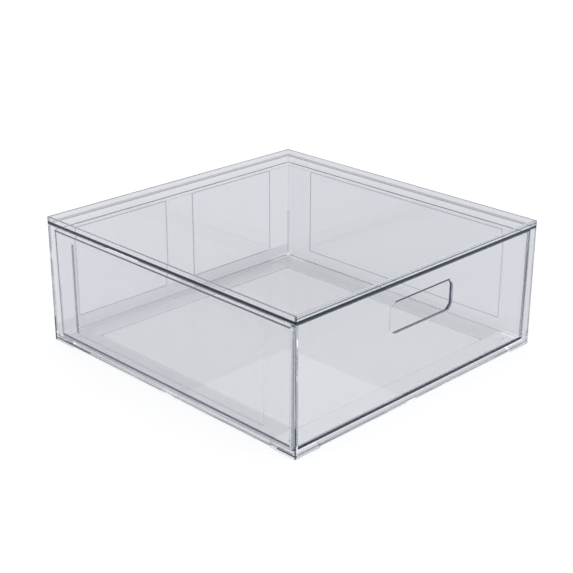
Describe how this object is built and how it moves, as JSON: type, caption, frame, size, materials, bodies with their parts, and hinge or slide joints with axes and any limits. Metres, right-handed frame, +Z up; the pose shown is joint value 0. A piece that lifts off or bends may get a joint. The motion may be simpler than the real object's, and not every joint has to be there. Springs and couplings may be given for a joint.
{
  "type": "closet storage drawer",
  "caption": "Low clear plastic stacking case, open at the top, with a bonded rim and a pull-out drawer whose front has a rounded handle slot.",
  "frame": {"origin": "on the ground, under the middle of the case", "axes": "+Z up, -Y out of the drawer's front, +X to the right for someone who faces the front"},
  "size_m": [0.325, 0.335, 0.1285],
  "materials": {
    "case_plastic": "clear, polished",
    "rim_plastic": "clear, polished",
    "drawer_plastic": "clear, polished"
  },
  "bodies": {
    "case": {"case_body": "case_plastic", "top_rim": "rim_plastic"},
    "drawer": {"drawer": "drawer_plastic"}
  },
  "joints": [
    {"name": "drawer_slide", "type": "slide", "parent": "case", "child": "drawer", "axis": [0, -1, 0], "range_m": [0, 0.3]}
  ]
}
